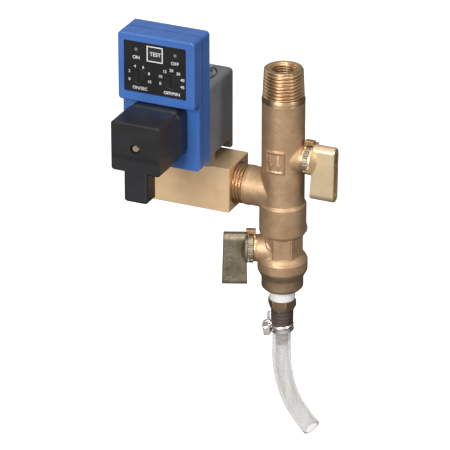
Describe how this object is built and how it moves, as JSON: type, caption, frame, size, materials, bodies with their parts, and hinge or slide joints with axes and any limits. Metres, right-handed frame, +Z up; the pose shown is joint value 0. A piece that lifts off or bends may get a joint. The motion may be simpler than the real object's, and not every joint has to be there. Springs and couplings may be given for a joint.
{
  "type": "automatic condensate drain valve",
  "caption": "Timer-controlled solenoid drain valve for compressed-air condensate, with a cast body, ball valves with wing handles, a side-mounted coil and timer, and a hose tail.",
  "frame": {"origin": "on the inlet's axis at the gauge plane of its taper thread, 8.2 mm below the inlet end face", "axes": "+Z up along the body's bore and out of the inlet, -X along the branch to the outlet port, -Y to the timer's front"},
  "size_m": [0.1059, 0.0875, 0.2362],
  "materials": {
    "cast_bronze": "matt, sand-cast skin",
    "brass": "satin, machined",
    "handle_zinc": "satin pale gold",
    "ball_chrome": "polished",
    "ptfe": "matt white",
    "stainless": "brushed",
    "zinc_steel": "bright zinc plate",
    "seal_rubber": "matt black",
    "coil_plastic": "matt dark grey",
    "copper": "enamelled copper wire",
    "bobbin_plastic": "matt grey",
    "timer_blue": "semi-gloss royal blue",
    "panel_black": "matt black",
    "button_black": "matt black",
    "knob_black": "matt black",
    "lamp_red": "clear red",
    "lamp_green": "clear green",
    "circuit_green": "green lacquer",
    "plug_black": "fine-grained semi-gloss black",
    "insert_grey": "matt grey",
    "clear_hose": "clear soft PVC",
    "screw_brass": "satin"
  },
  "bodies": {
    "root": {"valve_body": "cast_bronze", "upper_seat_top": "ptfe", "upper_seat_bottom": "ptfe", "upper_seat_retainer": "brass", "upper_stem_seal": "ptfe", "upper_gland_nut": "brass", "lower_seat_top": "ptfe", "lower_seat_bottom": "ptfe", "lower_seat_retainer": "brass", "lower_stem_seal": "ptfe", "lower_gland_nut": "brass", "strainer_screen": "stainless", "solenoid_block": "brass", "armature_tube": "stainless", "tube_o_ring": "seal_rubber", "fixed_core": "stainless", "plunger_spring": "stainless", "coil_housing": "coil_plastic", "coil_bobbin": "bobbin_plastic", "coil_winding": "copper", "coil_nut": "zinc_steel", "coil_terminals": "zinc_steel", "coil_gasket": "seal_rubber", "timer_base": "timer_blue", "timer_front": "timer_blue", "face_panel": "panel_black", "test_switch": "button_black", "on_led": "lamp_green", "off_led": "lamp_red", "time_trimmers": "insert_grey", "circuit_board": "circuit_green", "blade_clips": "zinc_steel", "timer_socket": "plug_black", "socket_blades": "zinc_steel", "plug_gasket": "seal_rubber", "plug_housing": "plug_black", "plug_insert": "insert_grey", "plug_screw": "screw_brass", "hose_tail": "brass", "ptfe_tape": "ptfe", "clamp_band": "stainless", "clamp_housing": "stainless", "clamp_screw": "zinc_steel", "drain_hose": "clear_hose"},
    "inlet_handle": {"upper_ball": "ball_chrome", "upper_stem": "brass", "upper_handle": "handle_zinc", "upper_handle_screw": "zinc_steel"},
    "drain_handle": {"lower_ball": "ball_chrome", "lower_stem": "brass", "lower_handle": "handle_zinc", "lower_handle_screw": "zinc_steel"},
    "armature": {"plunger": "stainless", "plunger_seal": "seal_rubber"},
    "test_button": {"test_button": "button_black"},
    "on_time_knob": {"on_time_knob": "knob_black"},
    "off_time_knob": {"off_time_knob": "knob_black"}
  },
  "joints": [
    {"name": "inlet_handle_turn", "type": "hinge", "parent": "root", "child": "inlet_handle", "pos_m": [0, 0, -0.0407], "axis": [-1, 0, 0], "range_deg": [-6, 84]},
    {"name": "drain_handle_turn", "type": "hinge", "parent": "root", "child": "drain_handle", "pos_m": [0, 0, -0.094], "axis": [0.9239, 0.3827, 0], "range_deg": [0, 90]},
    {"name": "armature_lift", "type": "slide", "parent": "root", "child": "armature", "axis": [0, 0, 1], "range_m": [0, 0.0018], "stiffness_N_per_m": 250, "springref_m": -0.004, "deforming": ["plunger_spring"]},
    {"name": "test_button_press", "type": "slide", "parent": "root", "child": "test_button", "axis": [0, 1, 0], "range_m": [0, 0.0008], "stiffness_N_per_m": 400, "springref_m": -0.001},
    {"name": "on_time_turn", "type": "hinge", "parent": "root", "child": "on_time_knob", "pos_m": [-0.06028, -0.0459, 0.01015], "axis": [0, -1, 0], "range_deg": [-135, 135]},
    {"name": "off_time_turn", "type": "hinge", "parent": "root", "child": "off_time_knob", "pos_m": [-0.04233, -0.0459, 0.01015], "axis": [0, -1, 0], "range_deg": [-135, 135]}
  ]
}
